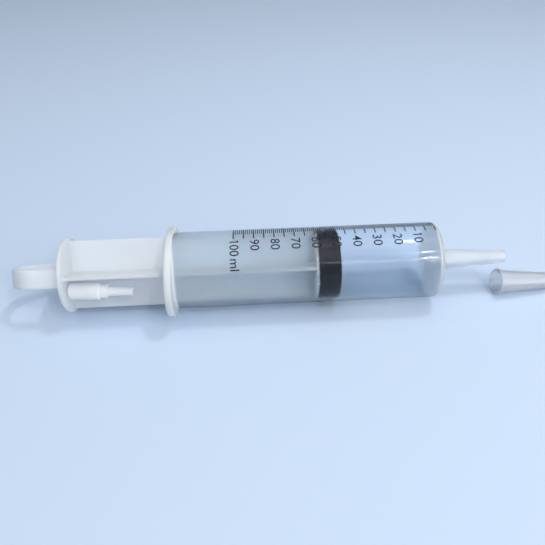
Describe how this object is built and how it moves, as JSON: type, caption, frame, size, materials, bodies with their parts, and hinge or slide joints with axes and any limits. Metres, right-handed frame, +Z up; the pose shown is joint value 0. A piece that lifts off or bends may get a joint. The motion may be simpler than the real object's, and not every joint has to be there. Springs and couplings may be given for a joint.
{
  "type": "irrigation syringe",
  "caption": "Catheter-tip irrigation syringe with a translucent barrel, ring plunger, rubber stopper, stored slip-tip adapter and loose nozzle cap.",
  "frame": {"origin": "centre of the nozzle's opening at its tip", "axes": "+X along the syringe's axis, out of the nozzle; +Z up from the surface that it lies on; -Y towards the camera side"},
  "size_m": [0.2829, 0.054, 0.039],
  "materials": {
    "barrel_plastic": "translucent moulded plastic, smooth",
    "rod_plastic": "milky moulded plastic, satin",
    "stopper_rubber": "black moulded rubber, lightly oiled",
    "adapter_plastic": "milky moulded plastic, smooth",
    "cap_plastic": "translucent moulded plastic, smooth"
  },
  "bodies": {
    "barrel": {"barrel": "barrel_plastic"},
    "stopper": {"stopper": "stopper_rubber"},
    "plunger": {"plunger_rod": "rod_plastic"},
    "adapter": {"luer_adapter": "adapter_plastic"},
    "cap": {"tip_cap": "cap_plastic"}
  },
  "joints": [
    {"name": "plunger_slide", "type": "slide", "parent": "barrel", "child": "stopper", "axis": [1, 0, 0], "range_m": [-0.0655, 0.048]},
    {"name": "plunger_spin", "type": "hinge", "parent": "stopper", "child": "plunger", "pos_m": [-0.0969, 0, 0], "axis": [1, 0, 0], "continuous": true},
    {"name": "adapter_pull", "type": "slide", "parent": "plunger", "child": "adapter", "axis": [0.9986, -0.027, -0.0449], "range_m": [0, 0.015]},
    {"name": "cap_slide", "type": "slide", "parent": "barrel", "child": "cap", "axis": [0.9986, 0.0523, 0.0039], "range_m": [0, 0.03]}
  ]
}
